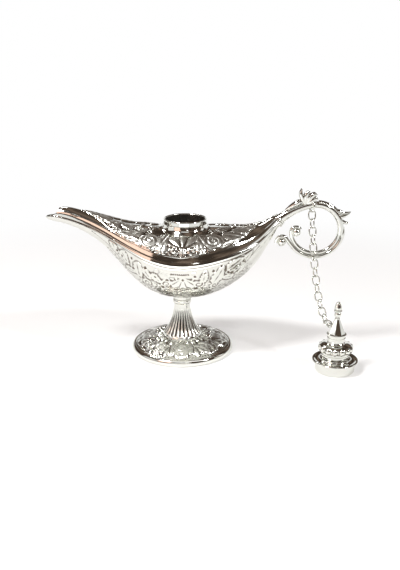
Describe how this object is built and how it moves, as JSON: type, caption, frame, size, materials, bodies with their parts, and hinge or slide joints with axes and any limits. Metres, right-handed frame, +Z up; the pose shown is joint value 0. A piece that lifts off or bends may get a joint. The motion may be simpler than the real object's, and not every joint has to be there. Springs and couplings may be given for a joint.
{
  "type": "genie oil lamp",
  "caption": "Plated metal genie oil lamp with a pouring spout, scroll handle, domed foot and a finialled lid standing beside it on a fine chain.",
  "frame": {"origin": "on the floor under the middle of the round foot", "axes": "+X towards the handle, -Y towards the viewer who sees the spout on the left, +Z up"},
  "size_m": [0.1889, 0.0804, 0.1045],
  "materials": {
    "body_plating": "bright plated casting",
    "foot_plating": "bright plated casting",
    "handle_plating": "bright plated casting",
    "chain_plating": "bright plated wire",
    "lid_plating": "bright plated casting",
    "fastener_steel": "zinc-plated steel"
  },
  "bodies": {
    "lamp": {"lower_bowl": "body_plating", "upper_shell": "body_plating", "foot": "foot_plating", "foot_washer": "fastener_steel", "foot_screw": "fastener_steel", "handle_scroll": "handle_plating"},
    "handle_ring": {"handle_ring": "chain_plating"},
    "chain_link_01": {"chain_link_01": "chain_plating"},
    "chain_link_02": {"chain_link_02": "chain_plating"},
    "chain_link_03": {"chain_link_03": "chain_plating"},
    "chain_link_04": {"chain_link_04": "chain_plating"},
    "chain_link_05": {"chain_link_05": "chain_plating"},
    "chain_link_06": {"chain_link_06": "chain_plating"},
    "chain_link_07": {"chain_link_07": "chain_plating"},
    "chain_link_08": {"chain_link_08": "chain_plating"},
    "chain_link_09": {"chain_link_09": "chain_plating"},
    "chain_link_10": {"chain_link_10": "chain_plating"},
    "chain_link_11": {"chain_link_11": "chain_plating"},
    "chain_link_12": {"chain_link_12": "chain_plating"},
    "chain_link_13": {"chain_link_13": "chain_plating"},
    "chain_link_14": {"chain_link_14": "chain_plating"},
    "lid_ring": {"lid_ring": "chain_plating"},
    "lid": {"lid_plug": "lid_plating", "lid_cap": "lid_plating", "lid_finial": "lid_plating"}
  },
  "joints": [
    {"name": "handle_ring_hinge", "type": "hinge", "parent": "lamp", "child": "handle_ring", "pos_m": [0.07941, 0, 0.09361], "axis": [0.9548, 0.2974, 0], "range_deg": [-30, 2]},
    {"name": "chain_link_01_hinge", "type": "hinge", "parent": "handle_ring", "child": "chain_link_01", "pos_m": [0.07962, -0.00067, 0.08942], "axis": [-0.2932, 0.9415, -0.1662], "range_deg": [-12, 30]},
    {"name": "chain_link_02_hinge", "type": "hinge", "parent": "chain_link_01", "child": "chain_link_02", "pos_m": [0.07986, -0.00146, 0.08454], "axis": [0.9548, 0.2974, 0], "range_deg": [-25, 4]},
    {"name": "chain_link_03_hinge", "type": "hinge", "parent": "chain_link_02", "child": "chain_link_03", "pos_m": [0.08014, -0.00237, 0.07963], "axis": [0.2919, -0.9372, 0.1912], "range_deg": [-30, 15]},
    {"name": "chain_link_04_hinge", "type": "hinge", "parent": "chain_link_03", "child": "chain_link_04", "pos_m": [0.08043, -0.00328, 0.07472], "axis": [-0.9548, -0.2974, 0], "range_deg": [-9, 25]},
    {"name": "chain_link_05_hinge", "type": "hinge", "parent": "chain_link_04", "child": "chain_link_05", "pos_m": [0.08076, -0.00436, 0.06985], "axis": [-0.2898, 0.9303, -0.2248], "range_deg": [-35, 35]},
    {"name": "chain_link_06_hinge", "type": "hinge", "parent": "chain_link_05", "child": "chain_link_06", "pos_m": [0.0811, -0.00543, 0.06498], "axis": [0.9548, 0.2974, 0], "range_deg": [-35, 35]},
    {"name": "chain_link_07_hinge", "type": "hinge", "parent": "chain_link_06", "child": "chain_link_07", "pos_m": [0.0815, -0.00673, 0.06017], "axis": [0.2861, -0.9187, 0.2722], "range_deg": [-35, 35]},
    {"name": "chain_link_08_hinge", "type": "hinge", "parent": "chain_link_07", "child": "chain_link_08", "pos_m": [0.08191, -0.00803, 0.05536], "axis": [-0.9548, -0.2974, 0], "range_deg": [-35, 35]},
    {"name": "chain_link_09_hinge", "type": "hinge", "parent": "chain_link_08", "child": "chain_link_09", "pos_m": [0.08242, -0.00967, 0.05066], "axis": [-0.2793, 0.8967, -0.3434], "range_deg": [-35, 35]},
    {"name": "chain_link_10_hinge", "type": "hinge", "parent": "chain_link_09", "child": "chain_link_10", "pos_m": [0.08293, -0.01131, 0.04597], "axis": [0.9548, 0.2974, 0], "range_deg": [-35, 35]},
    {"name": "chain_link_11_hinge", "type": "hinge", "parent": "chain_link_10", "child": "chain_link_11", "pos_m": [0.08361, -0.0135, 0.04152], "axis": [0.2642, -0.8482, 0.4591], "range_deg": [-35, 35]},
    {"name": "chain_link_12_hinge", "type": "hinge", "parent": "chain_link_11", "child": "chain_link_12", "pos_m": [0.08429, -0.01569, 0.03708], "axis": [-0.9548, -0.2974, 0], "range_deg": [-35, 35]},
    {"name": "chain_link_13_hinge", "type": "hinge", "parent": "chain_link_12", "child": "chain_link_13", "pos_m": [0.08528, -0.01885, 0.03333], "axis": [-0.2231, 0.7164, -0.6611], "range_deg": [-35, 35]},
    {"name": "chain_link_14_hinge", "type": "hinge", "parent": "chain_link_13", "child": "chain_link_14", "pos_m": [0.08626, -0.022, 0.02958], "axis": [0.9548, 0.2974, 0], "range_deg": [-35, 35]},
    {"name": "lid_ring_hinge", "type": "hinge", "parent": "chain_link_14", "child": "lid_ring", "pos_m": [0.08767, -0.02653, 0.02799], "axis": [0.0945, -0.3033, 0.9482], "range_deg": [-35, 35]},
    {"name": "lid_hinge", "type": "hinge", "parent": "lid_ring", "child": "lid", "pos_m": [0.08873, -0.02992, 0.0268], "axis": [-0.9548, -0.2974, 0], "range_deg": [-30, 30]}
  ]
}
